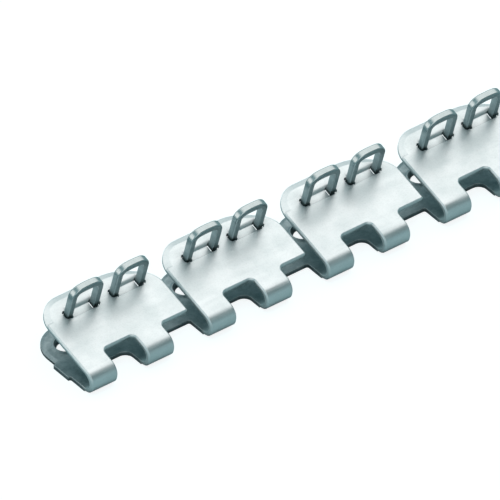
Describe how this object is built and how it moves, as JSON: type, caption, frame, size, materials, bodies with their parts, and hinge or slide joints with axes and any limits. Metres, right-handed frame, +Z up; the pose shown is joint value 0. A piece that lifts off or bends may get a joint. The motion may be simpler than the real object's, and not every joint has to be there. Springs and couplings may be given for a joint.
{
  "type": "hinged belt fastener strip",
  "caption": "Strip of folded steel belt fasteners with hinge loops along the front and pre-set staples that are driven down through the belt end.",
  "frame": {"origin": "middle of the strip's length and depth, on the surface that its lower plates rest on", "axes": "+X along the strip, +Y from the hinge loops towards the belt, +Z up"},
  "size_m": [0.1, 0.0186, 0.0144],
  "materials": {
    "plate_steel": "bright satin stamped steel sheet",
    "staple_steel": "smooth drawn steel wire, darker than the plates"
  },
  "bodies": {
    "plate_strip": {"plate_strip": "plate_steel"},
    "staple_1_left": {"staple_1_left": "staple_steel"},
    "staple_1_right": {"staple_1_right": "staple_steel"},
    "staple_2_left": {"staple_2_left": "staple_steel"},
    "staple_2_right": {"staple_2_right": "staple_steel"},
    "staple_3_left": {"staple_3_left": "staple_steel"},
    "staple_3_right": {"staple_3_right": "staple_steel"},
    "staple_4_left": {"staple_4_left": "staple_steel"},
    "staple_4_right": {"staple_4_right": "staple_steel"}
  },
  "joints": [
    {"name": "drive_staple_1_left", "type": "slide", "parent": "plate_strip", "child": "staple_1_left", "axis": [0, 0.2756, -0.9613], "range_m": [0, 0.0054]},
    {"name": "drive_staple_1_right", "type": "slide", "parent": "plate_strip", "child": "staple_1_right", "axis": [0, 0.2756, -0.9613], "range_m": [0, 0.0054]},
    {"name": "drive_staple_2_left", "type": "slide", "parent": "plate_strip", "child": "staple_2_left", "axis": [0, 0.2756, -0.9613], "range_m": [0, 0.0054]},
    {"name": "drive_staple_2_right", "type": "slide", "parent": "plate_strip", "child": "staple_2_right", "axis": [0, 0.2756, -0.9613], "range_m": [0, 0.0054]},
    {"name": "drive_staple_3_left", "type": "slide", "parent": "plate_strip", "child": "staple_3_left", "axis": [0, 0.2756, -0.9613], "range_m": [0, 0.0054]},
    {"name": "drive_staple_3_right", "type": "slide", "parent": "plate_strip", "child": "staple_3_right", "axis": [0, 0.2756, -0.9613], "range_m": [0, 0.0054]},
    {"name": "drive_staple_4_left", "type": "slide", "parent": "plate_strip", "child": "staple_4_left", "axis": [0, 0.2756, -0.9613], "range_m": [0, 0.0054]},
    {"name": "drive_staple_4_right", "type": "slide", "parent": "plate_strip", "child": "staple_4_right", "axis": [0, 0.2756, -0.9613], "range_m": [0, 0.0054]}
  ]
}
